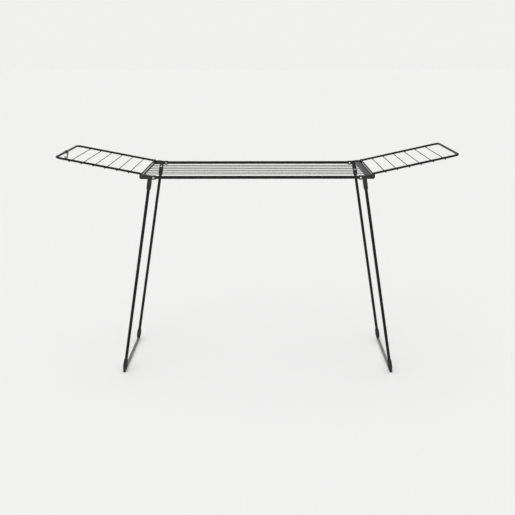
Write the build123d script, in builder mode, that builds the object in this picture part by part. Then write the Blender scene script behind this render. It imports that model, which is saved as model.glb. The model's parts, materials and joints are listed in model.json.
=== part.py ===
"""Folding clothes drying rack: a wire table on two splayed leg frames, with a
folding wing at each end.

Frame: +X along the rack towards the right wing, +Y towards the back, +Z up.
The origin is on the floor, under the middle of the rack. Millimetres.
"""
from build123d import *
from math import atan, atan2, cos, degrees, radians, sin
import os

os.makedirs("parts", exist_ok=True)

# ---------------------------------------------------------------- dimensions
# Table
rail_z = 932.6            # height of the rail axis
rail_y = 257.5            # rail axis from the middle of the rack
rail_r = 7.0
tube_wall = 1.0
rail_end = 476.0          # the rail stops here, inside the bracket
wire_r = 1.8
table_wire_count = 6
table_wire_pitch = 59.0
wire_seat = 3.0           # how far a wire enters the hole in an end bar
end_bar_x = 518.5
end_bar_r = 4.0
end_bar_reach = 258.0

# Corner brackets, front and back of each end
body_in = 248.5           # inner and outer faces of the bracket's body, in y
body_out = 266.5
ear_in = 243.5            # inner face of the ear that carries the hinges
ear_out = 250.0
ear_root_x = 473.0        # the ear starts here, clear of the rivet
body_low = 926.0
body_top = 944.0
nose_x = 525.5
collar_x = 453.0
collar_r = 9.0
rivet_x = 462.5
rivet_z = 931.6
boss_r = 9.4
boss_in = 247.6           # inner and outer faces of the rivet's boss, in y
boss_out = 267.3
rivet_r = 2.0
rivet_head_r = 4.1
rivet_head = 1.4          # height of the head outside
rivet_tail_r = 3.6
rivet_tail = 1.6          # height of the formed tail inside

# Wings
hinge_x = 518.5
hinge_z = 945.8
hinge_bar_r = 3.5
hinge_boss_r = 5.3
hinge_bar_reach = 249.4
wing_rise = {"left": 11.0, "right": 12.5}    # degrees above level when open
wing_y = 237.0
wing_r = 5.0
wing_length = 389.9       # hinge axis to the outer bar's axis
wing_stub = 4.5           # tube past the hinge axis
wing_corner = 25.0
wing_wire_count = 6
wing_wire_first = 57.4
wing_wire_pitch = 54.0
wing_wire_reach = 243.0

# Legs
leg_y = 231.0
leg_r = 7.0
leg_foot_x = 632.3        # where the leg axis meets the floor
leg_top_x = 481.1         # where it meets the rail's height
pivot_z = {"left": 921.0, "right": 902.0}    # set apart, so that one frame folds over the other
pin_r = 3.0
pin_head_r = 5.2
hub_r = 9.35
socket_r = 10.5            # widest part of the socket's sleeve
hub_in = 221.6            # inner and outer faces of the socket's hub, in y
hub_out = 242.9
socket_low_z = 873.6
socket_top = {"left": 0.0, "right": 23.0}    # socket above the pivot, along the leg
tube_below_pin = 6.0
peg_orbit = 6.4           # stop peg on the ear, in an arc slot in the hub
peg_r = 1.3
peg_angle = -60.0

# Feet
cap_length = 62.0
cap_bore_depth = 44.0
barrel_r = 6.9
barrel_z = 6.6
barrel_in = 222.5
barrel_out = 240.5
spigot_r = 5.45
spigot_in = 210.0
foot_bar_r = 6.5

# Storage catch on the left wing
catch_y = -12.0
sleeve_r = 6.5
sleeve_width = 22.0
hook_width = 15.0
hook_bore_r = 6.6
hook_ring_r = 9.2

# Small gaps
fit_gap = 0.02            # radial, pieces pushed together
run_gap = 0.05            # radial, pieces that turn

leg_lean = (leg_foot_x - leg_top_x) / rail_z       # tangent of the splay
leg_fold = 90.0 + degrees(atan(leg_lean))          # from splayed to flat under the table
table_wires = [(i - (table_wire_count - 1) / 2) * table_wire_pitch for i in range(table_wire_count)]
sides = {"left": -1, "right": 1}
ends = {"front": -1, "back": 1}


# ------------------------------------------------------------------- helpers
def finish(piece, name):
    """Label a finished piece and write it to its own file."""
    piece.part.label = name
    export_step(piece.part, f"parts/{name}.step")
    print(f"{name:24s} volume {piece.part.volume / 1000:9.3f} cm3")


def upright(side, y):
    """Upright plane at y: its x runs outwards from the middle, its y runs up."""
    return Plane(origin=(0, y, 0), x_dir=(side, 0, 0), z_dir=(0, -side, 0))


def reach(side, y_from, y_to):
    """Extrusion length that takes a sketch on upright(side, y_from) to y_to."""
    return -side * (y_to - y_from)


def along_x(x, y, z):
    """Plane at x facing +X."""
    return Plane(origin=(x, y, z), x_dir=(0, 1, 0), z_dir=(1, 0, 0))


def along_y(x, y, z):
    """Plane at y facing +Y."""
    return Plane(origin=(x, y, z), x_dir=(-1, 0, 0), z_dir=(0, 1, 0))


def leg_x(z):
    """Distance of the leg axis from the middle at a height."""
    return leg_top_x + (rail_z - z) * leg_lean


def leg_down(side):
    """Unit direction down the leg."""
    return Vector(side * leg_lean, 0, -1).normalized()


def leg_plane(side_name, end):
    """Plane for leg profiles: origin on the pivot, x across the leg, y down it."""
    side = sides[side_name]
    z = pivot_z[side_name]
    down = leg_down(side)
    across = Vector(0, 1, 0)
    return Plane(origin=(side * leg_x(z), end * leg_y, z), x_dir=across, z_dir=across.cross(down))


def leg_length(side_name):
    """Pivot to floor along the leg axis."""
    return pivot_z[side_name] * (1 + leg_lean**2) ** 0.5


def wing_plane(side_name):
    """The plane of an open wing: origin on the hinge axis, x outwards along the wing."""
    side = sides[side_name]
    rise = radians(wing_rise[side_name])
    return Plane(
        origin=(side * hinge_x, 0, hinge_z),
        x_dir=(side * cos(rise), 0, sin(rise)),
        z_dir=(-side * sin(rise), 0, cos(rise)),
    )


# --------------------------------------------------------------------- table
def make_rail(end_name):
    """Long side tube of the table, drilled through for the rivet at each end."""
    y = ends[end_name] * rail_y
    with BuildPart() as rail:
        with BuildSketch(along_x(-rail_end, y, rail_z)):
            Circle(rail_r)
            Circle(rail_r - tube_wall, mode=Mode.SUBTRACT)
        extrude(amount=2 * rail_end)
        with BuildSketch(upright(1, y - 2 * rail_r)):
            with Locations((rivet_x, rivet_z), (-rivet_x, rivet_z)):
                Circle(rivet_r + fit_gap)
        extrude(amount=reach(1, y - 2 * rail_r, y + 2 * rail_r), mode=Mode.SUBTRACT)
    finish(rail, f"rail_{end_name}")


def make_end_bar(side_name):
    """Cross bar at one end of the table, punched for the wire ends."""
    x = sides[side_name] * end_bar_x
    with BuildPart() as bar:
        with BuildSketch(along_y(x, -end_bar_reach, rail_z)):
            Circle(end_bar_r)
        extrude(amount=2 * end_bar_reach)
        chamfer(bar.faces().filter_by(Axis.Y).edges(), length=0.6)
        for y in table_wires:
            with BuildSketch(along_x(x - sides[side_name] * end_bar_r, y, rail_z)):
                Circle(wire_r + fit_gap)
            extrude(amount=sides[side_name] * wire_seat, mode=Mode.SUBTRACT)
    finish(bar, f"end_bar_{side_name}")


def make_table_wire(number, y):
    """Drying wire from end bar to end bar."""
    half = end_bar_x - end_bar_r + wire_seat - fit_gap
    with BuildPart() as wire:
        with BuildSketch(along_x(-half, y, rail_z)):
            Circle(wire_r)
        extrude(amount=2 * half)
    finish(wire, f"table_wire_{number}")


def make_bracket(side_name, end_name):
    """Moulded corner bracket: rail collar, end bar seat, wing hinge and leg pivot."""
    side = sides[side_name]
    end = ends[end_name]
    pivot = (leg_x(pivot_z[side_name]), pivot_z[side_name])
    shoulder = (leg_x(rivet_z), rivet_z)
    nose_r = (body_top - body_low) / 2
    nose_mid = (nose_x - nose_r, body_low + nose_r)
    with BuildPart() as bracket:
        # Body with a rounded nose, and a slope down to the rail collar.
        with BuildSketch(upright(side, end * body_in)):
            with BuildLine():
                Line((470, body_low), (nose_mid[0], body_low))
                ThreePointArc((nose_mid[0], body_low), (nose_x, nose_mid[1]), (nose_mid[0], body_top))
                Line((nose_mid[0], body_top), (500, body_top))
                Spline((500, body_top), (474, rail_z + collar_r - 0.6), tangents=((-1, 0), (-1, -0.1)))
                Line((474, rail_z + collar_r - 0.6), (470, rail_z + collar_r - 0.6))
                Line((470, rail_z + collar_r - 0.6), (470, body_low))
            make_face()
        extrude(amount=reach(side, end * body_in, end * body_out))
        outer_face = bracket.faces().sort_by(Axis.Y)[-1 if end > 0 else 0]
        fillet(outer_face.edges(), radius=2.0)
        # Long shallow thumb recess near the nose.
        with BuildSketch(upright(side, end * body_out)):
            with Locations((505.5, rail_z - 1.2)):
                SlotOverall(20, 4.6)
        extrude(amount=reach(side, end * body_out, end * (body_out - 1.6)), mode=Mode.SUBTRACT)
        # Collar round the rail, with a rolled lip where the rail enters.
        with BuildSketch(along_x(side * collar_x, end * rail_y, rail_z)):
            Circle(collar_r)
        extrude(amount=side * 30)
        with BuildSketch(along_x(side * collar_x, end * rail_y, rail_z)):
            Circle(collar_r + 0.8)
        extrude(amount=side * 3.5)
        # Round boss for the rivet, right through the bracket.
        with BuildSketch(upright(side, end * boss_in)):
            with Locations((rivet_x, rivet_z)):
                Circle(boss_r)
        extrude(amount=reach(side, end * boss_in, end * boss_out))
        # Ear inside the body: wing hinge boss, body strip and leg pivot boss.
        with BuildSketch(upright(side, end * ear_in)):
            with BuildLine():
                Polyline(
                    (ear_root_x, body_low), (nose_mid[0], body_low), (nose_mid[0], body_top - 1),
                    (496, body_top - 1), (476, rail_z + 6), (ear_root_x, rail_z + 6), close=True,
                )
            make_face()
            with Locations(nose_mid):
                Circle(nose_r - 0.5)
            with Locations((hinge_x, hinge_z)):
                Circle(hinge_boss_r)
        extrude(amount=reach(side, end * ear_in, end * ear_out))
        with BuildSketch(upright(side, end * ear_in)):
            with Locations(pivot, shoulder):
                Circle(8.5)
            make_hull()
        extrude(amount=reach(side, end * ear_in, end * ear_out))
        # Rest that the open wing's tube lies on.
        with BuildSketch(wing_rest_plane(side_name, end)):
            with BuildLine():
                Polyline((5.0, -5.3), (8.0, -5.3), (7.2, -11.5), (3.0, -11.5), (3.0, -8.0), close=True)
            make_face()
        extrude(amount=reach(side, end * (wing_y - 4), end * (ear_in + 1)))
        # Stop peg that rides in the socket's arc slot.
        with BuildSketch(upright(side, end * (ear_in - 3.5))):
            with Locations(peg_place(pivot)):
                Circle(peg_r)
        extrude(amount=reach(side, end * (ear_in - 3.5), end * (ear_in + 1)))
        # Bores: rail, rivet, end bar, wing hinge bar and leg pin.
        with BuildSketch(along_x(side * (collar_x - 1), end * rail_y, rail_z)):
            Circle(rail_r + fit_gap)
        extrude(amount=side * (rail_end + 1.5 - collar_x), mode=Mode.SUBTRACT)
        with BuildSketch(upright(side, end * (boss_in - 1))):
            with Locations((rivet_x, rivet_z)):
                Circle(rivet_r + fit_gap)
        extrude(amount=reach(side, end * (boss_in - 1), end * (boss_out + 1)), mode=Mode.SUBTRACT)
        for place, radius, depth in (
            ((end_bar_x, rail_z), end_bar_r + fit_gap, end_bar_reach + 0.5),
            ((hinge_x, hinge_z), hinge_bar_r + run_gap, hinge_bar_reach + 0.3),
            (pivot, pin_r + fit_gap, ear_in + 5),
        ):
            with BuildSketch(upright(side, end * (ear_in - 1))):
                with Locations(place):
                    Circle(radius)
            extrude(amount=reach(side, end * (ear_in - 1), end * depth), mode=Mode.SUBTRACT)
    finish(bracket, f"bracket_{side_name}_{end_name}")


def wing_rest_plane(side_name, end):
    """Upright plane beside the wing tube, tilted like the open wing."""
    wing = wing_plane(side_name)
    side = sides[side_name]
    origin = (side * hinge_x, end * (wing_y - 4), hinge_z)
    return Plane(origin=origin, x_dir=wing.x_dir, z_dir=(0, -side, 0))


def peg_place(pivot):
    """Centre of the stop peg beside the leg pivot."""
    angle = radians(peg_angle)
    return (pivot[0] + peg_orbit * cos(angle), pivot[1] + peg_orbit * sin(angle))


def make_end_panel():
    """Flat moulded panel over the right end of the table, clipped on the wires."""
    panel_in = 487.0
    panel_out = 513.6
    panel_low = rail_z + wire_r + 0.2
    panel_thick = 3.2
    panel_reach = 243.0
    clip_reach = 4.5
    lip_drop = 2.5
    lip_thick = 1.6
    with BuildPart() as panel:
        with BuildSketch(upright(1, -panel_reach)):
            with BuildLine():
                Polyline(
                    (panel_in, panel_low - lip_drop), (panel_in + lip_thick, panel_low - lip_drop),
                    (panel_in + lip_thick, panel_low), (panel_out, panel_low),
                    (panel_out, panel_low + panel_thick), (panel_in, panel_low + panel_thick),
                    close=True,
                )
            make_face()
        extrude(amount=reach(1, -panel_reach, panel_reach))
        top = panel.faces().sort_by(Axis.Z)[-1]
        fillet(top.edges(), radius=1.2)
        for y in table_wires:
            # Room for the wire under the lip, and a snap clip round it.
            with BuildSketch(along_x(panel_in - 1, y, rail_z)):
                Rectangle(2 * wire_r + 0.6, 4 * wire_r)
            extrude(amount=3, mode=Mode.SUBTRACT)
            with BuildSketch(along_x(panel_in + 7, y, rail_z)):
                Rectangle(2 * clip_reach, 2 * (panel_low - rail_z) + 1.6)
                Circle(wire_r + run_gap, mode=Mode.SUBTRACT)
                with Locations((0, -2.2)):
                    Rectangle(1.8 * wire_r, 4.4 - wire_r, mode=Mode.SUBTRACT)
            extrude(amount=9)
    finish(panel, "end_panel")


def make_rail_rivets():
    """Four rivets through the brackets and rails, headed inside and outside."""
    with BuildPart() as rivets:
        for side in sides.values():
            for end in ends.values():
                for radius, y_from, y_to in (
                    (rivet_r, boss_in, boss_out),
                    (rivet_tail_r, boss_in - rivet_tail, boss_in),
                    (rivet_head_r, boss_out, boss_out + rivet_head),
                ):
                    with BuildSketch(along_y(side * rivet_x, end * y_from, rivet_z)):
                        Circle(radius)
                    extrude(amount=end * (y_to - y_from))
        rims = rivets.edges().filter_by(lambda e: abs(e.center().Y) > boss_out + rivet_head - 0.1)
        fillet(rims, radius=1.1)
        tails = rivets.edges().filter_by(lambda e: abs(e.center().Y) < boss_in - rivet_tail + 0.1)
        fillet(tails, radius=1.1)
    finish(rivets, "rail_rivets")


def make_leg_pins():
    """Four pivot pins, pressed into the ears and headed inside the sockets."""
    with BuildPart() as pins:
        for side_name, side in sides.items():
            x = side * leg_x(pivot_z[side_name])
            for end in ends.values():
                for radius, y_from, y_to in (
                    (pin_r, hub_in - 0.3, ear_in + 4.9),
                    (pin_head_r, hub_in - 2.3, hub_in - 0.3),
                ):
                    with BuildSketch(along_y(x, end * y_from, pivot_z[side_name])):
                        Circle(radius)
                    extrude(amount=end * (y_to - y_from))
        heads = pins.edges().filter_by(GeomType.CIRCLE).filter_by(lambda e: abs(e.radius - pin_head_r) < 0.01)
        chamfer(heads.filter_by(lambda e: abs(e.center().Y) < hub_in - 1), length=0.8)
    finish(pins, "leg_pins")


# --------------------------------------------------------------------- wings
def make_wing_frame(side_name):
    """Bent tube round three sides of a wing, drilled for the hinge bar."""
    with BuildPart() as frame:
        with BuildLine(wing_plane(side_name)) as route:
            FilletPolyline(
                (-wing_stub, -wing_y), (wing_length, -wing_y), (wing_length, wing_y), (-wing_stub, wing_y),
                radius=wing_corner,
            )
        with BuildSketch(Plane(origin=route.line @ 0, z_dir=route.line % 0)):
            Circle(wing_r)
            Circle(wing_r - tube_wall, mode=Mode.SUBTRACT)
        sweep()
        with BuildSketch(along_y(sides[side_name] * hinge_x, -wing_y - 10, hinge_z)):
            Circle(hinge_bar_r + fit_gap)
        extrude(amount=2 * (wing_y + 10), mode=Mode.SUBTRACT)
    finish(frame, f"wing_frame_{side_name}")


def make_hinge_bar(side_name):
    """Bar through the inner ends of a wing; its ends turn in the bracket ears."""
    with BuildPart() as bar:
        with BuildSketch(along_y(sides[side_name] * hinge_x, -hinge_bar_reach, hinge_z)):
            Circle(hinge_bar_r)
        extrude(amount=2 * hinge_bar_reach)
        chamfer(bar.faces().filter_by(Axis.Y).edges(), length=0.5)
    finish(bar, f"hinge_bar_{side_name}")


def make_wing_wire(side_name, number):
    """Drying wire welded under the wing's side tubes."""
    wing = wing_plane(side_name)
    out = wing_wire_first + (number - 1) * wing_wire_pitch
    centre = wing.from_local_coords(Vector(out, 0, -wing_r - wire_r))
    with BuildPart() as wire:
        with BuildSketch(along_y(centre.X, -wing_wire_reach, centre.Z)):
            Circle(wire_r)
        extrude(amount=2 * wing_wire_reach)
    finish(wire, f"wing_wire_{side_name}_{number}")


def outer_bar_centre():
    """Outer bar of the left wing, in the upright plane's x and y."""
    rise = radians(wing_rise["left"])
    return (hinge_x + wing_length * cos(rise), hinge_z + wing_length * sin(rise))


def make_catch_sleeve():
    """Bush on the left wing's outer bar, for the catch to turn on."""
    bar = outer_bar_centre()
    with BuildPart() as sleeve:
        with BuildSketch(upright(-1, catch_y - sleeve_width / 2)):
            with Locations(bar):
                Circle(sleeve_r)
                Circle(wing_r + fit_gap, mode=Mode.SUBTRACT)
        extrude(amount=reach(-1, catch_y - sleeve_width / 2, catch_y + sleeve_width / 2))
    finish(sleeve, "catch_sleeve")


def make_catch_hook():
    """Moulded hook that hangs from the sleeve: an open ring, a stem and a prong."""
    bar = outer_bar_centre()
    # The outline about the sleeve's axis, x outwards and y up.
    with BuildSketch(mode=Mode.PRIVATE) as outline:
        Circle(hook_ring_r)
        with BuildLine():
            stem = Polyline((-9.0, 2.0), (-9.6, -12.0), (-9.6, -36.0))
            heel = ThreePointArc(stem @ 1, (-6.6, -39.4), (-3.4, -36.0))
            shin = Line(heel @ 1, (-3.4, -31.5))
            sole = ThreePointArc(shin @ 1, (2.0, -30.0), (5.4, -25.0))
            tip = ThreePointArc(sole @ 1, (4.3, -23.2), (3.0, -25.0))
            crook = ThreePointArc(tip @ 1, (-0.4, -27.4), (-4.6, -23.0))
            back = Line(crook @ 1, (-4.6, -7.0))
            Line(back @ 1, stem @ 0)
        make_face()
        Circle(hook_bore_r, mode=Mode.SUBTRACT)
        with BuildLine():
            Polyline((0, 0), (14, 4.5), (14, 16), (-4.5, 14), close=True)
        make_face(mode=Mode.SUBTRACT)
    weight = outline.sketch.faces()[0].center(CenterOf.MASS)
    hang = degrees(atan2(-weight.X, -weight.Y))
    with BuildPart() as hook:
        with BuildSketch(upright(-1, catch_y - hook_width / 2)):
            with Locations(Location((bar[0], bar[1], 0), (0, 0, hang))):
                add(outline.sketch)
        extrude(amount=reach(-1, catch_y - hook_width / 2, catch_y + hook_width / 2))
    print(f"catch hangs {hang:.2f} degrees off its drawn position")
    finish(hook, "catch_hook")


# ---------------------------------------------------------------------- legs
def make_leg_tube(side_name, end_name):
    """Straight leg tube from the socket down into the foot cap."""
    plane = leg_plane(side_name, ends[end_name])
    down = leg_down(sides[side_name])
    length = leg_length(side_name) - cap_length + cap_bore_depth - tube_below_pin
    with BuildPart() as tube:
        with BuildSketch(Plane(origin=plane.origin + down * tube_below_pin, x_dir=(0, 1, 0), z_dir=down)):
            Circle(leg_r)
            Circle(leg_r - tube_wall, mode=Mode.SUBTRACT)
        extrude(amount=length)
    finish(tube, f"leg_tube_{side_name}_{end_name}")


def make_leg_socket(side_name, end_name):
    """Moulded socket on top of a leg: pivot hub, tapered sleeve and bottom collar."""
    side = sides[side_name]
    end = ends[end_name]
    plane = leg_plane(side_name, end)
    down = leg_down(side)
    pivot = (leg_x(pivot_z[side_name]), pivot_z[side_name])
    top = -socket_top[side_name]
    low = (pivot_z[side_name] - socket_low_z) * (1 + leg_lean**2) ** 0.5
    with BuildPart() as socket:
        with BuildSketch(plane):
            with BuildLine():
                Polyline(
                    (0, top), (hub_r - 1.5, top), (hub_r, top + 1.5), (socket_r, top + 13),
                    (socket_r, low - 17), (9.7, low - 4), (9.7, low - 1.2), (8.7, low), (0, low), close=True,
                )
            make_face()
        revolve(axis=Axis(plane.origin, down))
        with BuildSketch(upright(side, end * hub_in)):
            with Locations(pivot):
                Circle(hub_r)
        extrude(amount=reach(side, end * hub_in, end * hub_out))
        with BuildSketch(Plane(origin=plane.origin + down * tube_below_pin, x_dir=(0, 1, 0), z_dir=down)):
            Circle(leg_r + fit_gap)
        extrude(amount=low, mode=Mode.SUBTRACT)
        with BuildSketch(upright(side, end * (hub_in - 1))):
            with Locations(pivot):
                Circle(pin_r + run_gap)
        extrude(amount=reach(side, end * (hub_in - 1), end * (hub_out + 1)), mode=Mode.SUBTRACT)
        # Flat for the pin's head on the inner side.
        with BuildSketch(upright(side, end * (hub_in - 3))):
            with Locations(pivot):
                Circle(pin_head_r + 0.4)
        extrude(amount=reach(side, end * (hub_in - 3), end * hub_in), mode=Mode.SUBTRACT)
        # Arc slot for the stop peg: the leg swings through it from open to folded.
        with BuildSketch(upright(side, end * (hub_out - 3.5))):
            with BuildLine(mode=Mode.PRIVATE):
                swing = CenterArc(pivot, peg_orbit, peg_angle, leg_fold)
            SlotArc(swing, height=2 * peg_r + 0.6)
        extrude(amount=reach(side, end * (hub_out - 3.5), end * (hub_out + 1)), mode=Mode.SUBTRACT)
    finish(socket, f"leg_socket_{side_name}_{end_name}")


def make_foot_cap(side_name, end_name):
    """Moulded foot: a swelling sleeve on the leg and a barrel on the floor."""
    side = sides[side_name]
    end = ends[end_name]
    plane = leg_plane(side_name, end)
    down = leg_down(side)
    floor = leg_length(side_name)
    top = floor - cap_length
    barrel_x = side * leg_x(barrel_z)
    with BuildPart() as cap:
        with BuildSketch(plane):
            with BuildLine():
                rim = Polyline((0, top), (8.2, top), (9.0, top + 0.8), (9.2, top + 3.0))
                swell = Spline(
                    rim @ 1, (10.5, top + 24), (9.5, top + 42), (6.6, floor - barrel_z - 1.5),
                    tangents=((0.1, 1), (-0.25, 1)),
                )
                Polyline(swell @ 1, (0, floor - barrel_z - 1.5), rim @ 0)
            make_face()
        revolve(axis=Axis(plane.origin, down))
        with BuildSketch(along_y(barrel_x, end * barrel_in, barrel_z)):
            Circle(barrel_r)
        extrude(amount=end * (barrel_out - barrel_in))
        barrel_rim = cap.faces().filter_by(Axis.Y).sort_by(Axis.Y)[-1 if end > 0 else 0]
        fillet(barrel_rim.edges(), radius=1.2)
        with BuildSketch(along_y(barrel_x, end * spigot_in, barrel_z)):
            Circle(spigot_r)
        extrude(amount=end * (barrel_in - spigot_in + 1))
        with BuildSketch(Plane(origin=plane.origin + down * (top - 1), x_dir=(0, 1, 0), z_dir=down)):
            Circle(leg_r + fit_gap)
        extrude(amount=cap_bore_depth + 1.5, mode=Mode.SUBTRACT)
        with BuildSketch(Plane.XY):
            with Locations((barrel_x, end * leg_y)):
                Rectangle(60, 60)
        extrude(amount=-10, mode=Mode.SUBTRACT)
    finish(cap, f"foot_cap_{side_name}_{end_name}")


def make_foot_bar(side_name):
    """Tube between the two feet of a leg frame, pushed over the caps' spigots."""
    with BuildPart() as bar:
        half = barrel_in - 0.1
        with BuildSketch(along_y(sides[side_name] * leg_x(barrel_z), -half, barrel_z)):
            Circle(foot_bar_r)
            Circle(spigot_r + fit_gap, mode=Mode.SUBTRACT)
        extrude(amount=2 * half)
    finish(bar, f"foot_bar_{side_name}")


# ------------------------------------------------------------------ assembly
print(f"leg fold {leg_fold:.2f} degrees, splay {leg_fold - 90:.2f} degrees")
for end_name in ends:
    make_rail(end_name)
for side_name in sides:
    make_end_bar(side_name)
for index, wire_y in enumerate(table_wires):
    make_table_wire(index + 1, wire_y)
for side_name in sides:
    for end_name in ends:
        make_bracket(side_name, end_name)
make_end_panel()
make_rail_rivets()
make_leg_pins()
for side_name in sides:
    make_wing_frame(side_name)
    make_hinge_bar(side_name)
    for wire_number in range(1, wing_wire_count + 1):
        make_wing_wire(side_name, wire_number)
make_catch_sleeve()
make_catch_hook()
for side_name in sides:
    for end_name in ends:
        make_leg_tube(side_name, end_name)
        make_leg_socket(side_name, end_name)
        make_foot_cap(side_name, end_name)
    make_foot_bar(side_name)
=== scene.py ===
# %% [markdown]
# # A folding clothes drying rack
# The rack is a table of steel wires on two splayed leg frames, with a wire wing hinged at each end.
# Everything is thin tube and wire, so the lesson is about pieces that repeat, about small moulded
# parts with soft edges, and about dark coatings that still show their shape.
#
# The CAD frame comes first. It fixes every size and every joint, and nothing here moves it.

# %% Load the frame
import json
import math

import bmesh
import bpy
from mathutils import Matrix, Vector


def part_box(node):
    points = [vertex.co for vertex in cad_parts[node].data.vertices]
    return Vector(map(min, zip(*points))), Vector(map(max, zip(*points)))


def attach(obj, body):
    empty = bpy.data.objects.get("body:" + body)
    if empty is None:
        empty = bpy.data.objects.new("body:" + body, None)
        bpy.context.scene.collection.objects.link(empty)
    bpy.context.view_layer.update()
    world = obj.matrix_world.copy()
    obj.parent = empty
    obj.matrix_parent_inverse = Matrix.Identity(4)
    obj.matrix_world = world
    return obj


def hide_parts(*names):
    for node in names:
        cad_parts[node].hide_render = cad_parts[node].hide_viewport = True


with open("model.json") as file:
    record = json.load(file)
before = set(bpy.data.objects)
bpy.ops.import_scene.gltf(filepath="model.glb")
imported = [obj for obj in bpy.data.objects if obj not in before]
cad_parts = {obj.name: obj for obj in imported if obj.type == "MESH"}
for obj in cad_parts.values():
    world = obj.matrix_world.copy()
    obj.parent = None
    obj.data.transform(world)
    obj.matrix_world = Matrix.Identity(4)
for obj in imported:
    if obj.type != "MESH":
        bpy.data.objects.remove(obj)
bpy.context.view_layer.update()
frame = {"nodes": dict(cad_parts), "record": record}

nodes = frame["nodes"]
MM = 0.001
SIDES = {"left": -1, "right": 1}
ENDS = {"front": -1, "back": 1}

# %% [markdown]
# ## Camera
# The rack stands square to the camera, a little below its eye. A longish lens keeps the two ends
# nearly the same size. The camera comes early because every later choice is judged through it.

# %% Camera
camera_data = bpy.data.cameras.new("studio_camera")
camera_data.lens = 60.37
camera_data.sensor_width = 36.0
camera_data.clip_end = 200.0
camera = bpy.data.objects.new("studio_camera", camera_data)
camera.location = (0.0287, -4.0885, 1.493)
look_down = 0.2378
turn_left = 0.0072
roll = -0.0020
aim = Matrix.Rotation(turn_left, 3, "Z") @ Matrix.Rotation(math.pi / 2 - look_down, 3, "X")
camera.rotation_euler = (aim @ Matrix.Rotation(roll, 3, "Z")).to_euler()
scene = bpy.context.scene
scene.collection.objects.link(camera)
scene.camera = camera
scene.view_settings.view_transform = "Standard"
print("camera:", tuple(round(v, 3) for v in camera.location), "lens", camera_data.lens)

# %% [markdown]
# ## Studio
# A dark, thin object shows its round shape only by what it reflects. So the world is a dome that is
# dim at the horizon and bright overhead, with one soft window at the front left. The floor is a very
# large matt disc in the tone of the background, and a weak soft panel on the left adds direction.


# %% Studio floor and light
def world_node(tree, kind, operation, inputs):
    """A math node of the world's tree, with values or sockets as inputs."""
    node = tree.nodes.new(kind)
    node.operation = operation
    for index, value in enumerate(inputs):
        if isinstance(value, bpy.types.NodeSocket):
            tree.links.new(value, node.inputs[index])
        else:
            node.inputs[index].default_value = value
    return node


def pale_world(horizon, zenith, window, window_way, seen):
    """A dome that is brighter overhead, with one soft window, and its own tone where it is seen."""
    world = bpy.data.worlds.new("studio")
    world.use_nodes = True
    tree = world.node_tree
    tree.nodes.clear()
    out = tree.nodes.new("ShaderNodeOutputWorld")
    mix = tree.nodes.new("ShaderNodeMixShader")
    path = tree.nodes.new("ShaderNodeLightPath")
    lights = tree.nodes.new("ShaderNodeBackground")
    shown = tree.nodes.new("ShaderNodeBackground")
    way = tree.nodes.new("ShaderNodeTexCoord")
    height = tree.nodes.new("ShaderNodeSeparateXYZ")
    tree.links.new(way.outputs["Generated"], height.inputs["Vector"])
    up = world_node(tree, "ShaderNodeMath", "MAXIMUM", (height.outputs["Z"], 0.0))
    rise = world_node(tree, "ShaderNodeMath", "MULTIPLY_ADD", (up.outputs[0], zenith - horizon, horizon))
    near = world_node(tree, "ShaderNodeVectorMath", "DOT_PRODUCT", (way.outputs["Generated"], window_way))
    # The window is full within 11 degrees of its middle and gone past 35.
    soft = tree.nodes.new("ShaderNodeMapRange")
    soft.interpolation_type = "SMOOTHSTEP"
    soft.inputs["From Min"].default_value = 0.82
    soft.inputs["From Max"].default_value = 0.98
    soft.inputs["To Max"].default_value = window
    tree.links.new(near.outputs["Value"], soft.inputs["Value"])
    total = world_node(tree, "ShaderNodeMath", "ADD", (rise.outputs[0], soft.outputs["Result"]))
    lights.inputs["Color"].default_value = (1.0, 1.0, 1.0, 1.0)
    tree.links.new(total.outputs[0], lights.inputs["Strength"])
    shown.inputs["Color"].default_value = seen
    tree.links.new(path.outputs["Is Camera Ray"], mix.inputs["Fac"])
    tree.links.new(lights.outputs["Background"], mix.inputs[1])
    tree.links.new(shown.outputs["Background"], mix.inputs[2])
    tree.links.new(mix.outputs["Shader"], out.inputs["Surface"])
    return world


def studio_floor(radius, tone):
    """A large disc at floor level."""
    mesh = bpy.data.meshes.new("studio_floor")
    bm = bmesh.new()
    bmesh.ops.create_circle(bm, cap_ends=True, segments=96, radius=radius)
    bm.to_mesh(mesh)
    bm.free()
    floor = bpy.data.objects.new("studio_floor", mesh)
    scene.collection.objects.link(floor)
    material = bpy.data.materials.new("studio_paper")
    material.use_nodes = True
    shader = material.node_tree.nodes["Principled BSDF"]
    shader.inputs["Base Color"].default_value = tone
    shader.inputs["Roughness"].default_value = 1.0
    shader.inputs["Specular IOR Level"].default_value = 0.0
    mesh.materials.append(material)
    return floor


def soft_panel(name, place, aim, size, watts):
    """A square area light that faces a point."""
    data = bpy.data.lights.new(name, "AREA")
    data.shape = "RECTANGLE"
    data.size = size[0]
    data.size_y = size[1]
    data.energy = watts
    panel = bpy.data.objects.new(name, data)
    panel.location = place
    panel.rotation_euler = (Vector(aim) - Vector(place)).to_track_quat("-Z", "Y").to_euler()
    scene.collection.objects.link(panel)
    return panel


window_way = Vector((-0.45, -0.82, 0.35)).normalized()
scene.world = pale_world(0.24, 1.14, 1.6, window_way, (0.872, 0.872, 0.867, 1.0))
studio_floor(60.0, (0.93, 0.93, 0.925, 1.0))
soft_panel("left_panel", (-3.6, -3.4, 1.9), (-0.4, 0.0, 0.6), (1.6, 1.6), 5.0)
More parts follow.
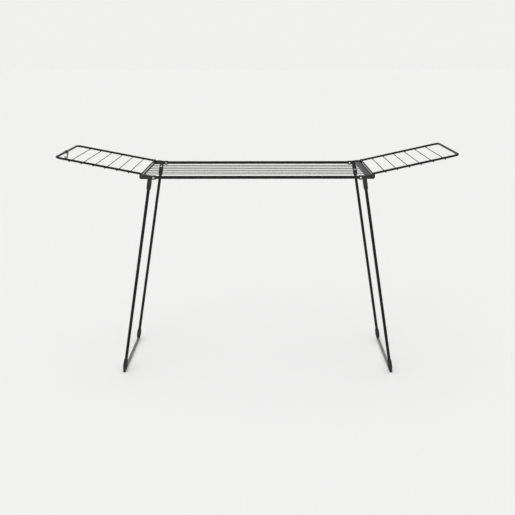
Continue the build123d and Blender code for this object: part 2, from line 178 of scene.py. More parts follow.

# %% [markdown]
# ## Finishes
# The steel is powder coated. Powder melts into a skin that is never quite level: it has a fine
# orange peel, and its gloss drifts a little from place to place. It also holds a little dust on top.
# A principled shader with layered noise says all of that.
#
# The moulded parts have a spark-eroded grain, which is finer and more matt than the coating. All
# patterns read Object coordinates, in metres, so their scale is the real one on every piece.


# %% Node helpers for the finishes
def shader_tree(name):
    """A new material with its tree and its principled shader."""
    material = bpy.data.materials.new(name)
    material.use_nodes = True
    tree = material.node_tree
    return material, tree, tree.nodes["Principled BSDF"]


def noise(tree, scale, detail=2.0, roughness=0.5):
    """Noise on the object's own coordinates; scale is in cells per metre."""
    where = tree.nodes.new("ShaderNodeTexCoord")
    node = tree.nodes.new("ShaderNodeTexNoise")
    node.inputs["Scale"].default_value = scale
    node.inputs["Detail"].default_value = detail
    node.inputs["Roughness"].default_value = roughness
    tree.links.new(where.outputs["Object"], node.inputs["Vector"])
    return node.outputs["Fac"]


def remap(tree, value, low, high, to_low, to_high):
    """Stretch a value from one range to another, clamped."""
    node = tree.nodes.new("ShaderNodeMapRange")
    for label, number in (("From Min", low), ("From Max", high), ("To Min", to_low), ("To Max", to_high)):
        node.inputs[label].default_value = number
    tree.links.new(value, node.inputs["Value"])
    return node.outputs["Result"]


def blend_colour(tree, factor, first, second):
    """Mix two colours, each a tuple or a socket."""
    node = tree.nodes.new("ShaderNodeMix")
    node.data_type = "RGBA"
    tree.links.new(factor, node.inputs[0])
    for socket, colour in ((node.inputs[6], first), (node.inputs[7], second)):
        if isinstance(colour, tuple):
            socket.default_value = colour
        else:
            tree.links.new(colour, socket)
    return node.outputs[2]


def facing_up(tree, low, high):
    """0 on sides and undersides, rising to 1 on surfaces that face up."""
    geometry = tree.nodes.new("ShaderNodeNewGeometry")
    parts = tree.nodes.new("ShaderNodeSeparateXYZ")
    tree.links.new(geometry.outputs["Normal"], parts.inputs["Vector"])
    return remap(tree, parts.outputs["Z"], low, high, 0.0, 1.0)


def multiply(tree, first, second):
    """Product of two values."""
    node = tree.nodes.new("ShaderNodeMath")
    node.operation = "MULTIPLY"
    tree.links.new(first, node.inputs[0])
    if isinstance(second, (int, float)):
        node.inputs[1].default_value = second
    else:
        tree.links.new(second, node.inputs[1])
    return node.outputs["Value"]


def bump(tree, shader, layers):
    """Chain of bumps: each layer is (height socket, depth in metres)."""
    last = None
    for height, depth in layers:
        node = tree.nodes.new("ShaderNodeBump")
        node.inputs["Strength"].default_value = 1.0
        node.inputs["Distance"].default_value = depth
        tree.links.new(height, node.inputs["Height"])
        if last is not None:
            tree.links.new(last, node.inputs["Normal"])
        last = node.outputs["Normal"]
    tree.links.new(last, shader.inputs["Normal"])


print("finish helpers ready")


# %% Powder coat
def powder_coat(name, deep, worn, gloss):
    """Coated steel: orange peel, drifting gloss and a trace of dust on top."""
    material, tree, shader = shader_tree(name)
    drift = noise(tree, 9.0, 3.0)
    cloud = noise(tree, 70.0, 3.0, 0.6)
    skin = blend_colour(tree, remap(tree, drift, 0.35, 0.65, 0.0, 1.0), deep, worn)
    dust = multiply(tree, remap(tree, cloud, 0.45, 0.75, 0.0, 0.10), facing_up(tree, 0.2, 0.9))
    dust_colour = (0.32, 0.31, 0.30, 1.0)
    tree.links.new(blend_colour(tree, dust, skin, dust_colour), shader.inputs["Base Color"])
    tree.links.new(remap(tree, cloud, 0.3, 0.7, gloss - 0.05, gloss + 0.07), shader.inputs["Roughness"])
    shader.inputs["Specular IOR Level"].default_value = 0.14
    bump(tree, shader, ((noise(tree, 420.0, 2.0), 0.00006), (noise(tree, 1500.0, 1.0), 0.00002)))
    return material


def moulded(name, deep, pale, gloss, level):
    """Moulded plastic: spark-eroded grain, faint flow marks, matt, with ridges rubbed paler."""
    material, tree, shader = shader_tree(name)
    flow = noise(tree, 35.0, 4.0, 0.55)
    grain = noise(tree, 2600.0, 2.0, 0.6)
    ridge = tree.nodes.new("ShaderNodeAttribute")
    ridge.attribute_name = "worn"
    patchy = remap(tree, noise(tree, 220.0, 3.0, 0.6), 0.35, 0.65, 0.25, 1.0)
    rubbed = multiply(tree, ridge.outputs["Fac"], patchy)
    skin = blend_colour(tree, remap(tree, flow, 0.35, 0.7, 0.0, 1.0), deep, pale)
    polished = tuple(min(1.0, channel * 2.2) for channel in pale[:3]) + (1.0,)
    tone = blend_colour(tree, multiply(tree, rubbed, 0.6), skin, polished)
    tree.links.new(tone, shader.inputs["Base Color"])
    matt = remap(tree, flow, 0.3, 0.7, gloss - 0.04, gloss + 0.06)
    rub = tree.nodes.new("ShaderNodeMath")
    rub.operation = "MULTIPLY_ADD"
    tree.links.new(rubbed, rub.inputs[0])
    rub.inputs[1].default_value = -0.12
    tree.links.new(matt, rub.inputs[2])
    tree.links.new(rub.outputs["Value"], shader.inputs["Roughness"])
    shader.inputs["Specular IOR Level"].default_value = level
    bump(tree, shader, ((grain, 0.00003), (noise(tree, 160.0, 1.0), 0.00004)))
    return material


def zinc(name):
    """Bright zinc plate on steel, with small dull spots."""
    material, tree, shader = shader_tree(name)
    spots = noise(tree, 900.0, 3.0, 0.6)
    tone = blend_colour(tree, spots, (0.60, 0.60, 0.58, 1.0), (0.86, 0.86, 0.84, 1.0))
    tree.links.new(tone, shader.inputs["Base Color"])
    tree.links.new(remap(tree, spots, 0.3, 0.7, 0.22, 0.42), shader.inputs["Roughness"])
    shader.inputs["Metallic"].default_value = 1.0
    bump(tree, shader, ((noise(tree, 2200.0, 1.0), 0.00002),))
    return material


# Each coating has a deep and a worn tone and a roughness; each moulding also has a reflection level.
finishes = {
    "black_coated_steel": powder_coat(
        "black_powder_coat", (0.006, 0.006, 0.0062, 1.0), (0.010, 0.010, 0.010, 1.0), 0.36
    ),
    "coated_wire": powder_coat(
        "black_wire_coat", (0.005, 0.005, 0.005, 1.0), (0.009, 0.009, 0.0088, 1.0), 0.42
    ),
    "grey_coated_steel": powder_coat(
        "grey_powder_coat", (0.175, 0.175, 0.173, 1.0), (0.21, 0.21, 0.206, 1.0), 0.40
    ),
    "black_plastic": moulded(
        "black_moulding", (0.013, 0.013, 0.013, 1.0), (0.020, 0.020, 0.0195, 1.0), 0.48, 0.30
    ),
    "panel_plastic": moulded(
        "dark_grey_moulding", (0.050, 0.050, 0.050, 1.0), (0.066, 0.066, 0.065, 1.0), 0.52, 0.35
    ),
    "grey_plastic": moulded(
        "grey_moulding", (0.15, 0.15, 0.148, 1.0), (0.18, 0.18, 0.177, 1.0), 0.44, 0.45
    ),
    "rivet_steel": zinc("bright_zinc"),
}
slot_of = {row["node"]: row["material_slot"] for row in frame["record"]["subparts"]}
for name, node in nodes.items():
    node.data.materials.clear()
    node.data.materials.append(finishes[slot_of[name]])
print("finishes:", ", ".join(sorted(finishes)))

# %% [markdown]
# ## Helpers for making pieces
# Every finished piece is a plain mesh at the origin, so its coordinates are the frame's own. Three
# small tools cover most of the rack. One finishes a mesh object: smooth shading with sharp edges
# kept, a finish, the body it moves with and the CAD nodes it stands for. One skins a chain of rings.
# One rounds the edges of a moulded shape.


# %% Place a finished piece
def finish_piece(piece, body, slot, replaced, sharp=38.0):
    """Shade a piece, give it its finish, and tie it to the frame."""
    mesh = piece.data
    mesh.polygons.foreach_set("use_smooth", [True] * len(mesh.polygons))
    mesh.set_sharp_from_angle(angle=math.radians(sharp))
    mesh.materials.clear()
    mesh.materials.append(finishes[slot])
    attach(piece, body)
    if replaced:
        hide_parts(*replaced)
    return piece


def piece_from(bm, name):
    """Turn a bmesh into an object in the scene, with its faces outward."""
    bmesh.ops.recalc_face_normals(bm, faces=bm.faces)
    mesh = bpy.data.meshes.new(name)
    bm.to_mesh(mesh)
    bm.free()
    piece = bpy.data.objects.new(name, mesh)
    scene.collection.objects.link(piece)
    return piece


print("piece helpers ready")


# %% Skin a chain of rings
def skin_rings(bm, rings, sides, looped=False):
    """Join rings of points. Each ring is (centre, direction, up, radius) or has two radii."""
    loops = []
    for centre, direction, up, radius in rings:
        wide, high = radius if isinstance(radius, tuple) else (radius, radius)
        across = direction.cross(up).normalized()
        upward = across.cross(direction).normalized()
        turn = [2 * math.pi * i / sides for i in range(sides)]
        spots = [centre + across * (wide * math.cos(a)) + upward * (high * math.sin(a)) for a in turn]
        loops.append([bm.verts.new(spot) for spot in spots])
    pairs = list(zip(loops, loops[1:])) + ([(loops[-1], loops[0])] if looped else [])
    for one, two in pairs:
        for i in range(sides):
            j = (i + 1) % sides
            bm.faces.new((one[i], one[j], two[j], two[i]))
    if not looped:
        bm.faces.new(loops[0][::-1])
        bm.faces.new(loops[-1])


def rounded_route(corners, radius, steps):
    """Points along straight runs joined by arcs, with the direction at each point."""
    route = [(corners[0], (corners[1] - corners[0]).normalized(), False)]
    for before, corner, after in zip(corners, corners[1:], corners[2:]):
        come = (corner - before).normalized()
        leave = (after - corner).normalized()
        centre = corner - come * radius + leave * radius
        for i in range(steps + 1):
            turn = math.pi / 2 * i / steps
            place = centre - leave * (radius * math.cos(turn)) + come * (radius * math.sin(turn))
            heading = come * math.cos(turn) + leave * math.sin(turn)
            route.append((place, heading, 0 < i < steps))
    route.append((corners[-1], (corners[-1] - corners[-2]).normalized(), False))
    return route


def fill_runs(route, step):
    """Add points along the long straight runs, so that no face is very long."""
    filled = [route[0]]
    for (a, _, _), (b, heading, bent) in zip(route, route[1:]):
        parts = max(1, round((b - a).length / step))
        filled += [(a.lerp(b, i / parts), (b - a).normalized(), False) for i in range(1, parts)]
        filled.append((b, heading, bent))
    return filled


print("ring helpers ready")

# %% [markdown]
# ## Steel tubes
# Rails, legs, feet bars and wing frames are thin-walled tube, cut square and deburred. A curve with
# a bevel would look right from outside, but it has no wall, and an open end would show it. So each
# tube is skinned as one closed chain of rings: outside, round the lip, back along the bore. In a
# bend, the tube flattens by a few percent, which the two radii of a ring allow.


# %% Tubes with a wall
def steel_tube(name, route, up, radius, wall, sides):
    """A hollow tube along a route, with rounded lips and a slightly flattened bend."""
    lip = wall * 0.4
    outside = [(p, d, up, (radius * 0.975, radius * 1.015) if bent else radius) for p, d, bent in route]
    inside = [(p, d, up, radius - wall) for p, d, bent in reversed(route)]
    outer_radii = (radius - lip, radius)
    inner_radii = (radius - wall + lip, radius - wall)
    for ring_set, radii in ((outside, outer_radii), (inside, inner_radii)):
        first, last = ring_set[0], ring_set[-1]
        ring_set[0] = (first[0], first[1], up, radii[0])
        ring_set[-1] = (last[0], last[1], up, radii[0])
        inward = 1 if ring_set is outside else -1
        ring_set.insert(1, (first[0] + first[1] * lip * inward, first[1], up, radii[1]))
        ring_set.insert(-1, (last[0] - last[1] * lip * inward, last[1], up, radii[1]))
    bm = bmesh.new()
    skin_rings(bm, outside + inside, sides, looped=True)
    return piece_from(bm, name)


def straight(start, end, step=60 * MM):
    """A straight route."""
    a, b = Vector(start), Vector(end)
    way = (b - a).normalized()
    return fill_runs([(a, way, False), (b, way, False)], step)


def middle(node):
    """Centre of a node's box."""
    low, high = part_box(node)
    return (low + high) / 2


UP = Vector((0, 0, 1))
tube_wall = 1.0 * MM
tube_sides = 48
rail_radius = (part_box("rail_front")[1].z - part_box("rail_front")[0].z) / 2
for end in ENDS:
    low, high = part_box(f"rail_{end}")
    axis = middle(f"rail_{end}")
    run = straight((low.x, axis.y, axis.z), (high.x, axis.y, axis.z))
    rail = steel_tube(f"side_rail_{end}", run, UP, rail_radius, tube_wall, tube_sides)
    finish_piece(rail, "table", "black_coated_steel", [f"rail_{end}"])
print("rails: radius", round(rail_radius / MM, 2), "mm")

# %% [markdown]
# ## Legs
# Each leg is a straight tube that leans outwards. Its box gives both ends: the box is longer than
# the axis by the radius times the slope, so the axis is found from the box and the radius.


# %% Leg tubes and foot bars
leg_radius = (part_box("leg_tube_left_front")[1].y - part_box("leg_tube_left_front")[0].y) / 2


def leg_axis(side, end):
    """Top and bottom of a leg tube's axis, from its node's box."""
    low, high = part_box(f"leg_tube_{side}_{end}")
    y = middle(f"leg_tube_{side}_{end}").y
    sign = SIDES[side]
    lean = 0.0
    for _ in range(8):
        rise = leg_radius * math.sin(lean)
        run = leg_radius * math.cos(lean)
        lean = math.atan2((high.x - low.x) - 2 * run, (high.z - low.z) - 2 * rise)
    inner, outer = (low.x, high.x) if sign > 0 else (high.x, low.x)
    top = Vector((inner + sign * run, y, high.z - rise))
    bottom = Vector((outer - sign * run, y, low.z + rise))
    return top, bottom


for side in SIDES:
    for end in ENDS:
        top, bottom = leg_axis(side, end)
        run = straight(top, bottom)
        leg = steel_tube(f"leg_{side}_{end}", run, Vector((0, 1, 0)), leg_radius, tube_wall, tube_sides)
        finish_piece(leg, f"{side}_leg", "black_coated_steel", [f"leg_tube_{side}_{end}"])
    low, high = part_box(f"foot_bar_{side}")
    axis = middle(f"foot_bar_{side}")
    run = straight((axis.x, low.y, axis.z), (axis.x, high.y, axis.z))
    foot_bar = steel_tube(f"ground_bar_{side}", run, UP, (high.z - low.z) / 2, tube_wall, tube_sides)
    finish_piece(foot_bar, f"{side}_leg", "grey_coated_steel", [f"foot_bar_{side}"])
print("legs lean", round(math.degrees(math.atan2(abs(bottom.x - top.x), top.z - bottom.z)), 2), "degrees")

# %% [markdown]
# ## Wing frames
# A wing is one tube bent twice, with a rod through its two inner ends as the hinge. Its plane is
# tilted, so the script first finds that plane from the hinge rod and the outermost wire, and then
# lays the route out in it.


# %% Wing frames
wing_radius = 5.0 * MM
wing_bend = 25.0 * MM
wing_stub = 4.5 * MM      # tube past the hinge axis


def wing_plane(side):
    """Hinge point, outward direction and upward normal of a wing's plane."""
    hinge = middle(f"hinge_bar_{side}")
    first = middle(f"wing_wire_{side}_1")
    last = middle(f"wing_wire_{side}_6")
    outward = (last - first).normalized()
    normal = Vector((-outward.z, 0, outward.x)) * SIDES[side]
    return Vector((hinge.x, 0, hinge.z)), outward, normal


for side in SIDES:
    hinge, outward, normal = wing_plane(side)
    low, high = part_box(f"wing_frame_{side}")
    half = high.y - wing_radius
    tip_x = (high.x if SIDES[side] > 0 else low.x) - SIDES[side] * wing_radius
    length = (tip_x - hinge.x) / outward.x
    corners = [
        hinge + outward * along + Vector((0, across, 0))
        for along, across in ((-wing_stub, -half), (length, -half), (length, half), (-wing_stub, half))
    ]
    route = fill_runs(rounded_route(corners, wing_bend, 14), 60 * MM)
    wing = steel_tube(f"wing_tube_{side}", route, normal, wing_radius, tube_wall, 40)
    finish_piece(wing, f"{side}_wing", "black_coated_steel", [f"wing_frame_{side}"])
    rise = math.degrees(math.asin(outward.z))
    print(side, "wing: rises", round(rise, 2), "degrees, hinge to outer bar", round(length / MM, 1), "mm")

# %% [markdown]
# ## Rods
# End bars and hinge bars are solid rod. The end of a cut rod has a small turned chamfer, and the
# coating rounds it further, so a few extra rings at each end are enough.


# %% End bars and hinge bars
def steel_rod(name, node, radius, chamfer, sides=40):
    """A solid rod along Y with rounded ends, where a CAD node lies."""
    low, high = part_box(node)
    axis = middle(node)
    along = Vector((0, 1, 0))
    marks = [(low.y, radius - chamfer), (low.y + chamfer * 0.35, radius - chamfer * 0.3)]
    marks.append((low.y + chamfer, radius))
    count = max(2, round((high.y - low.y) / (60 * MM)))
    marks += [(low.y + (high.y - low.y) * i / count, radius) for i in range(1, count)]
    marks += [(low.y + high.y - y, r) for y, r in marks[2::-1]]
    bm = bmesh.new()
    skin_rings(bm, [(Vector((axis.x, y, axis.z)), along, UP, r) for y, r in marks], sides)
    return piece_from(bm, name)


end_bar_radius = 4.0 * MM
hinge_bar_radius = 3.5 * MM
for side in SIDES:
    cross_bar = steel_rod(f"cross_bar_{side}", f"end_bar_{side}", end_bar_radius, 0.6 * MM)
    finish_piece(cross_bar, "table", "black_coated_steel", [f"end_bar_{side}"])
    hinge_rod = steel_rod(f"hinge_rod_{side}", f"hinge_bar_{side}", hinge_bar_radius, 0.5 * MM)
    finish_piece(hinge_rod, f"{side}_wing", "black_coated_steel", [f"hinge_bar_{side}"])
print("rods: two end bars and two hinge bars")

# %% [markdown]
# ## Drying wires
# The wires repeat at an even pitch, so they are one Geometry Nodes tree used three times: for the
# table and for each wing. A mesh line gives the places, and a thin swept line is set on each. Wire
# from a coil is never dead straight, so each one wanders by a few tenths of a millimetre between
# its fixed ends. The seed is fixed, so the wires come out the same each time.


# %% Tools for node trees
def new_tree(name, inputs):
    """An empty geometry tree with a geometry output and the named inputs."""
    tree = bpy.data.node_groups.new(name, "GeometryNodeTree")
    tree.interface.new_socket("Geometry", in_out="OUTPUT", socket_type="NodeSocketGeometry")
    for label, kind, value in inputs:
        socket = tree.interface.new_socket(label, in_out="INPUT", socket_type="NodeSocket" + kind)
        if value is not None:
            socket.default_value = value
    return tree, tree.nodes.new("NodeGroupInput"), tree.nodes.new("NodeGroupOutput")


def add(tree, kind, links=(), values=(), **settings):
    """Add a node, set its options and values, and link its inputs."""
    node = tree.nodes.new(kind)
    for key, value in settings.items():
        setattr(node, key, value)
    for label, value in values:
        node.inputs[label].default_value = value
    for label, socket in links:
        tree.links.new(socket, node.inputs[label])
    return node


def grow(name, tree, values, seed_mesh=None):
    """Run a tree on an object and keep the result as a plain mesh."""
    seed = bpy.data.objects.new(name, seed_mesh or bpy.data.meshes.new(name + "_seed"))
    scene.collection.objects.link(seed)
    modifier = seed.modifiers.new("grow", "NODES")
    modifier.node_group = tree
    for item in tree.interface.items_tree:
        if item.in_out == "INPUT" and item.name in values:
            modifier[item.identifier] = values[item.name]
    graph = bpy.context.evaluated_depsgraph_get()
    made = bpy.data.meshes.new_from_object(seed.evaluated_get(graph), depsgraph=graph)
    seed.modifiers.remove(modifier)
    seed.data = made
    made.name = name
    return seed


print("tree helpers ready")


# %% Wire ladder tree
def wire_ladder_tree():
    """Evenly spaced wires: places on a mesh line, a wandering swept line on each."""
    tree, given, out = new_tree("wire_ladder", (
        ("Count", "Int", 7), ("First Place", "Vector", (0.0, 0.0, 0.0)), ("Step", "Vector", (0.0, 0.05, 0.0)),
        ("Half Wire", "Vector", (0.5, 0.0, 0.0)), ("Wire Radius", "Float", 0.0015), ("Sides", "Int", 14),
        ("Wander", "Float", 0.0003), ("Seed", "Int", 3), ("Coat", "Material", None),
    ))
    pick = given.outputs
    places = add(tree, "GeometryNodeMeshLine", (
        ("Count", pick["Count"]), ("Start Location", pick["First Place"]), ("Offset", pick["Step"]),
    ), mode="OFFSET")
    back = add(tree, "ShaderNodeVectorMath", (("Vector", pick["Half Wire"]),), operation="SCALE")
    back.inputs["Scale"].default_value = -1.0
    line = add(tree, "GeometryNodeCurvePrimitiveLine", (
        ("Start", back.outputs["Vector"]), ("End", pick["Half Wire"]),
    ))
    fine = add(tree, "GeometryNodeResampleCurve", (("Curve", line.outputs["Curve"]),), (("Count", 33),))
    laid = add(tree, "GeometryNodeInstanceOnPoints", (
        ("Points", places.outputs["Mesh"]), ("Instance", fine.outputs["Curve"]),
    ))
    loose = add(tree, "GeometryNodeRealizeInstances", (("Geometry", laid.outputs["Instances"]),))
    # Wander is none at both ends of a wire and full in its middle.
    share = add(tree, "GeometryNodeSplineParameter")
    half_turn = add(tree, "ShaderNodeMath", (("Value", share.outputs["Factor"]),), operation="MULTIPLY")
    half_turn.inputs[1].default_value = math.pi
    swell = add(tree, "ShaderNodeMath", (("Value", half_turn.outputs["Value"]),), operation="SINE")
    reach = add(tree, "ShaderNodeMath", (("Value", swell.outputs["Value"]),), operation="MULTIPLY")
    tree.links.new(pick["Wander"], reach.inputs[1])
    where = add(tree, "GeometryNodeInputPosition")
    drift = add(tree, "ShaderNodeTexNoise", (("Vector", where.outputs["Position"]), ("W", pick["Seed"])), (
        ("Scale", 5.0), ("Detail", 1.0),
    ), noise_dimensions="4D")
    centred = add(tree, "ShaderNodeVectorMath", (("Vector", drift.outputs["Color"]),), operation="SUBTRACT")
    centred.inputs[1].default_value = (0.5, 0.5, 0.5)
    offset = add(tree, "ShaderNodeVectorMath", (
        ("Vector", centred.outputs["Vector"]), ("Scale", reach.outputs["Value"]),
    ), operation="SCALE")
    bent = add(tree, "GeometryNodeSetPosition", (
        ("Geometry", loose.outputs["Geometry"]), ("Offset", offset.outputs["Vector"]),
    ))
    section = add(tree, "GeometryNodeCurvePrimitiveCircle", (
        ("Resolution", pick["Sides"]), ("Radius", pick["Wire Radius"]),
    ))
    skin = add(tree, "GeometryNodeCurveToMesh", (
        ("Curve", bent.outputs["Geometry"]), ("Profile Curve", section.outputs["Curve"]),
    ), (("Fill Caps", True),))
    coated = add(tree, "GeometryNodeSetMaterial", (
        ("Geometry", skin.outputs["Mesh"]), ("Material", pick["Coat"]),
    ))
    tree.links.new(coated.outputs["Geometry"], out.inputs["Geometry"])
    return tree


ladder = wire_ladder_tree()
print("wire tree:", len(ladder.nodes), "nodes")


# %% Lay the wires
wire_radius = (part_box("table_wire_1")[1].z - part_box("table_wire_1")[0].z) / 2


def lay_wires(name, names, half_wire, wander, seed):
    """Wires from the first to the last of a row of CAD wires."""
    first, last = middle(names[0]), middle(names[-1])
    return grow(name, ladder, {
        "Count": len(names), "First Place": first, "Step": (last - first) / (len(names) - 1),
        "Half Wire": Vector(half_wire), "Wire Radius": wire_radius, "Sides": 14,
        "Wander": wander, "Seed": seed, "Coat": finishes["coated_wire"],
    })


table_names = [f"table_wire_{i}" for i in range(1, 7)]
half_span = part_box("table_wire_1")[1].x
table_wires = lay_wires("table_wires", table_names, (half_span, 0.0, 0.0), 0.9 * MM, 3)
finish_piece(table_wires, "table", "coated_wire", table_names, 50.0)
for side in SIDES:
    wing_names = [f"wing_wire_{side}_{i}" for i in range(1, 7)]
    half_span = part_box(wing_names[0])[1].y
    wing_wires = lay_wires(f"wing_wires_{side}", wing_names, (0.0, half_span, 0.0), 0.5 * MM, 5 + SIDES[side])
    finish_piece(wing_wires, f"{side}_wing", "coated_wire", wing_names, 50.0)
print("wires: 6 on the table, 6 on each wing,", len(table_wires.data.polygons), "faces on the table")

# %% [markdown]
# ## Welds and fixings
# A wire rack is full of small repeated things: a resistance weld wherever a wire meets a bar, a
# blind rivet at each corner, a pin at each leg. One tree sets a pattern object on a set of places.
# Each place carries its own size and turn as attributes, and a fixed-seed random share makes no two
# welds the same. The pattern is built once and removed when the copies are made.


# %% Tree that sets a pattern on places
def pattern_tree():
    """Set a pattern object on each place, with its size, turn and a random spread."""
    tree, given, out = new_tree("pattern_on_places", (
        ("Geometry", "Geometry", None), ("Pattern", "Object", None), ("Spread", "Float", 0.0),
        ("Seed", "Int", 1), ("Finish", "Material", None),
    ))
    pick = given.outputs
    shape = add(tree, "GeometryNodeObjectInfo", (("Object", pick["Pattern"]),), transform_space="ORIGINAL")
    size = add(tree, "GeometryNodeInputNamedAttribute", (), (("Name", "size"),), data_type="FLOAT_VECTOR")
    turn = add(tree, "GeometryNodeInputNamedAttribute", (), (("Name", "turn"),), data_type="FLOAT_VECTOR")
    chance = add(tree, "FunctionNodeRandomValue", (("Seed", pick["Seed"]),), data_type="FLOAT")
    chance.inputs[2].default_value = -1.0
    chance.inputs[3].default_value = 1.0
    share = add(tree, "ShaderNodeMath", operation="MULTIPLY_ADD")
    tree.links.new(chance.outputs[1], share.inputs[0])
    tree.links.new(pick["Spread"], share.inputs[1])
    share.inputs[2].default_value = 1.0
    grown = add(tree, "ShaderNodeVectorMath", (
        ("Vector", size.outputs["Attribute"]), ("Scale", share.outputs["Value"]),
    ), operation="SCALE")
    placed = add(tree, "GeometryNodeInstanceOnPoints", (
        ("Points", pick["Geometry"]), ("Instance", shape.outputs["Geometry"]),
        ("Rotation", turn.outputs["Attribute"]), ("Scale", grown.outputs["Vector"]),
    ))
    whole = add(tree, "GeometryNodeRealizeInstances", (("Geometry", placed.outputs["Instances"]),))
    finished = add(tree, "GeometryNodeSetMaterial", (
        ("Geometry", whole.outputs["Geometry"]), ("Material", pick["Finish"]),
    ))
    tree.links.new(finished.outputs["Geometry"], out.inputs["Geometry"])
    return tree


def set_on_places(name, tree, pattern, places, spread, seed, slot):
    """Run the pattern tree; each place is (point, size, turn)."""
    mesh = bpy.data.meshes.new(name + "_places")
    mesh.from_pydata([tuple(p) for p, _, _ in places], [], [])
    for label, column in (("size", 1), ("turn", 2)):
        store = mesh.attributes.new(label, "FLOAT_VECTOR", "POINT")
        store.data.foreach_set("vector", [number for place in places for number in place[column]])
    values = {"Pattern": pattern, "Spread": spread, "Seed": seed, "Finish": finishes[slot]}
    return grow(name, tree, values, mesh)


on_places = pattern_tree()
print("pattern tree:", len(on_places.nodes), "nodes")


# %% Weld bead pattern
def weld_bead():
    """A unit bead: a ball with a rippled skin, as molten metal freezes."""
    bm = bmesh.new()
    bmesh.ops.create_icosphere(bm, subdivisions=3, radius=1.0)
    for vert in bm.verts:
        p = vert.co
        ripple = math.sin(7.0 * p.x + 2.0 * math.sin(3.0 * p.y)) * math.cos(5.0 * p.z + 1.3 * p.x)
        vert.co = p * (1.0 + 0.05 * ripple)
    return piece_from(bm, "weld_bead_pattern")


def welds_on_wing(side):
    """Places, sizes and turns of one wing's welds."""
    hinge, outward, normal = wing_plane(side)
    tilt = (0.0, -math.atan2(outward.z, outward.x), 0.0)
    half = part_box(f"wing_frame_{side}")[1].y - wing_radius
    places = []
    for end in ENDS.values():
        for i in range(1, 7):
            contact = middle(f"wing_wire_{side}_{i}") + normal * (wire_radius - 0.4 * MM)
            places.append((contact + Vector((0, end * half, 0)), (3.3 * MM, 2.4 * MM, 1.5 * MM), tilt))
        for gap in (-1, 1):
            collar = Vector((hinge.x, end * half + gap * (wing_radius - 0.4 * MM), hinge.z))
            places.append((collar, (4.4 * MM, 1.9 * MM, 4.4 * MM), tilt))
    return places


bead = weld_bead()
wire_rows = [middle(name) for name in table_names]
bead_spread = 0.10
bead_size = (2.3 * MM, 2.7 * MM, 2.6 * MM)
bar_face = middle("end_bar_right").x - end_bar_radius
table_welds = []
for sign in SIDES.values():
    table_welds += [(Vector((sign * bar_face, row.y, row.z)), bead_size, (0, 0, 0)) for row in wire_rows]
welded = set_on_places("table_welds", on_places, bead, table_welds, bead_spread, 4, "black_coated_steel")
finish_piece(welded, "table", "black_coated_steel", [], 80.0)
for side in SIDES:
    spots = welds_on_wing(side)
    welded = set_on_places(f"wing_welds_{side}", on_places, bead, spots, bead_spread, 8, "black_coated_steel")
    finish_piece(welded, f"{side}_wing", "black_coated_steel", [], 80.0)
bpy.data.objects.remove(bead)
print("welds:", len(table_welds), "on the table,", len(welds_on_wing("left")), "on each wing")

# %% [markdown]
# ## Rivets and leg pins
# A tubular rivet goes right through each bracket and rail. Its outer head is a low dome with a
# hollow middle round a rough stub, and the tail that was pressed up inside is a plain button. The
# dark ring in the head is what tells the eye it is a rivet and not a dot, so both ends are lathed
# profiles, set at the four corners by the pattern tree.


# %% Rivets
lathe_sides = 40


def lathe(profile, sides, name):
    """Turn a profile of (radius, depth along -Y) about the Y axis."""
    bm = bmesh.new()
    along = Vector((0, 1, 0))
    skin_rings(bm, [(Vector((0, -depth, 0)), along, UP, radius) for radius, depth in profile], sides)
    return piece_from(bm, name)


def outward_turn(end):
    """Turn that makes a pattern drawn facing -Y face outwards at the front or back."""
    return (0.0, 0.0, 0.0) if end < 0 else (0.0, 0.0, math.pi)


rivet_low, rivet_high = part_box("rail_rivets")
boss_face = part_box("bracket_left_back")[1].y
# Profiles in millimetres: the shank, the dome, the rim of the hollow and the stub in it.
rivet_head = lathe([(r * MM, d * MM) for r, d in (
    (1.9, -6.0), (1.9, -0.05), (4.0, -0.05), (4.1, 0.15), (4.05, 0.4), (3.6, 0.8), (2.9, 1.12), (2.2, 1.3),
    (1.75, 1.33), (1.55, 1.25), (1.45, 1.0), (1.4, 0.45), (1.1, 0.4), (1.02, 0.5), (0.98, 0.85),
    (0.8, 0.98), (0.3, 0.92),
)], lathe_sides, "rivet_pattern")
rivet_tail = lathe([(r * MM, d * MM) for r, d in (
    (1.9, -4.0), (1.9, -0.05), (3.5, -0.05), (3.6, 0.2), (3.45, 0.75), (2.9, 1.25), (2.1, 1.5),
    (1.2, 1.6), (0.5, 1.55),
)], lathe_sides, "tail_pattern")
spot_x = rivet_high.x - 4.1 * MM
spot_z = (rivet_low.z + rivet_high.z) / 2
inner_face = 247.6 * MM


def rivet_places(face, outward):
    """The four corners, at one face of the brackets, facing out or in."""
    return [
        (Vector((side * spot_x, end * face, spot_z)), (1, 1, 1), outward_turn(end * outward))
        for side in SIDES.values() for end in ENDS.values()
    ]


outside = rivet_places(boss_face, 1)
inside = rivet_places(inner_face, -1)
rivets = set_on_places("rivet_heads", on_places, rivet_head, outside, 0.0, 1, "rivet_steel")
finish_piece(rivets, "table", "rivet_steel", ["rail_rivets"], 30.0)
tails = set_on_places("rivet_tails", on_places, rivet_tail, inside, 0.0, 1, "rivet_steel")
finish_piece(tails, "table", "rivet_steel", [], 30.0)
bpy.data.objects.remove(rivet_head)
bpy.data.objects.remove(rivet_tail)
print("rivets: 4, heads", round((rivet_high.y - boss_face) / MM, 2), "mm proud")


# %% Leg pins
pin_low, pin_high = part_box("leg_pins")
pin_head = 5.2 * MM
head_face = 219.3 * MM
pin_shape = lathe([(r * MM, d * MM) for r, d in (
    (3.0, -29.1), (3.0, -2.0), (5.0, -2.0), (5.2, -1.8), (5.2, -1.1), (4.9, -0.6), (4.3, -0.2),
    (3.4, 0.0), (1.6, -0.05), (1.2, -0.45), (0.4, -0.55),
)], lathe_sides, "pin_pattern")
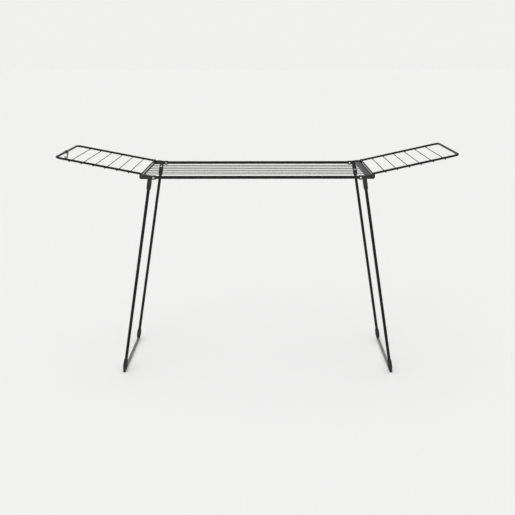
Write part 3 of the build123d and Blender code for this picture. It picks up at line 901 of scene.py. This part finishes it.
# The left pins are the higher ones, so the box of all four pins gives both heights.
pin_spots = []
for side, sign in SIDES.items():
    reach_x = abs(pin_low.x if sign < 0 else pin_high.x) - pin_head
    height = (pin_high.z if sign < 0 else pin_low.z) - (-sign) * pin_head
    for end in ENDS.values():
        pin_spots.append((Vector((sign * reach_x, end * head_face, height)), (1, 1, 1), outward_turn(-end)))
pins = set_on_places("pivot_pins", on_places, pin_shape, pin_spots, 0.0, 1, "rivet_steel")
finish_piece(pins, "table", "rivet_steel", ["leg_pins"], 30.0)
bpy.data.objects.remove(pin_shape)
print("pins at", [tuple(round(v / MM, 1) for v in p) for p, _, _ in pin_spots[::2]])

# %% [markdown]
# ## Moulded parts
# Brackets, sockets, caps, panel and hook are injection moulded. No moulded edge is sharp, and on a
# dark part the thin bright line on a rounded edge is what shows the shape. The CAD shapes are right,
# so a copy of each is welded into one skin, its flat faces are joined, and a bevel rounds every edge.
# A worn value is kept for each corner point: high on ridges, where hands and cloths polish it.


# %% Moulded copies
def edge_share(bm):
    """How much of a ridge each point stands on, from 0 on a flat or hollow to 1."""
    share = {}
    for vert in bm.verts:
        turns = [edge.calc_face_angle_signed(0.0) for edge in vert.link_edges if len(edge.link_faces) == 2]
        ridge = sum(max(0.0, t) for t in turns) / max(1, len(turns))
        share[vert.index] = min(1.0, max(0.0, (ridge - 0.05) / 0.20))
    return share


def moulded_copy(name, node, edge, body, slot, segments=3):
    """A copy of a CAD node with its edges rounded and its ridges marked."""
    bm = bmesh.new()
    bm.from_mesh(nodes[node].data)
    bmesh.ops.remove_doubles(bm, verts=bm.verts, dist=2e-6)
    bmesh.ops.dissolve_limit(bm, angle_limit=math.radians(0.7), verts=bm.verts, edges=bm.edges)
    mesh = bpy.data.meshes.new(name)
    bm.to_mesh(mesh)
    bm.free()
    piece = bpy.data.objects.new(name, mesh)
    scene.collection.objects.link(piece)
    bevel = piece.modifiers.new("round_edges", "BEVEL")
    bevel.width = edge
    bevel.segments = segments
    bevel.limit_method = "ANGLE"
    bevel.angle_limit = math.radians(32)
    bevel.use_clamp_overlap = True
    graph = bpy.context.evaluated_depsgraph_get()
    rounded = bpy.data.meshes.new_from_object(piece.evaluated_get(graph), depsgraph=graph)
    piece.modifiers.remove(bevel)
    piece.data = rounded
    rounded.name = name
    bm = bmesh.new()
    bm.from_mesh(rounded)
    share = edge_share(bm)
    bm.free()
    worn = rounded.attributes.new("worn", "FLOAT", "POINT")
    worn.data.foreach_set("value", [share[i] for i in range(len(rounded.vertices))])
    return finish_piece(piece, body, slot, [node])


moulded_parts = (
    ("corner", "bracket", 0.45 * MM, "table"),
    ("socket", "leg_socket", 0.35 * MM, "{side}_leg"),
    ("foot", "foot_cap", 0.35 * MM, "{side}_leg"),
)
for side in SIDES:
    for end in ENDS:
        for name, node, edge, body in moulded_parts:
            place = f"{side}_{end}"
            carrier = body.format(side=side)
            part = moulded_copy(f"{name}_{place}", f"{node}_{place}", edge, carrier, "black_plastic")
            if place == "right_back":
                print("moulded", name, "has", len(part.data.polygons), "faces")

# %% Panel, bush and hook
panel = moulded_copy("cover_panel", "end_panel", 0.3 * MM, "table", "panel_plastic")
bush = moulded_copy("catch_bush", "catch_sleeve", 0.3 * MM, "left_wing", "black_plastic")
hook = moulded_copy("storage_hook", "catch_hook", 0.6 * MM, "catch", "grey_plastic")
print("hook:", len(hook.data.polygons), "faces, panel:", len(panel.data.polygons), "faces")
